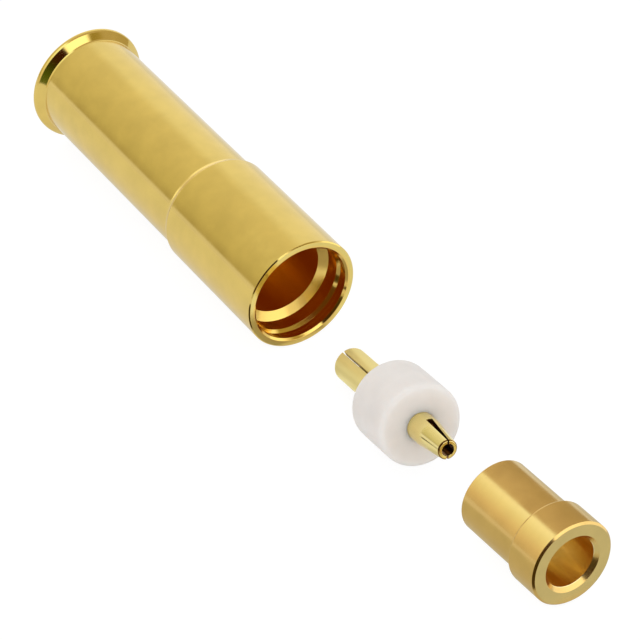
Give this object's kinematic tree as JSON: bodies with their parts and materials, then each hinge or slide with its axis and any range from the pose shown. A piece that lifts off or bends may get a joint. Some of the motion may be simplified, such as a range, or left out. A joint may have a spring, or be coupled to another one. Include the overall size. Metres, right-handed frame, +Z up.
{
  "type": "mmcx connector",
  "caption": "Micro coaxial cable jack as a loose kit: turned gold body with snap-in mouth and flared crimp tube, white insulator with slotted contact, and hollow bushing.",
  "frame": {"origin": "on the surface the parts lie on, under the middle of the row's box", "axes": "+X along the row, towards the way the body's mouth faces; +Z up"},
  "size_m": [0.026, 0.0038, 0.0038],
  "materials": {
    "gold_plated_brass": "polished gold plating over fine turning",
    "gold_plated_spring_alloy": "polished gold plating",
    "white_fluoropolymer": "waxy, slightly translucent"
  },
  "bodies": {
    "root": {"connector_body": "gold_plated_brass", "insulator": "white_fluoropolymer", "centre_contact": "gold_plated_spring_alloy", "cable_bushing": "gold_plated_brass"}
  },
  "joints": []
}
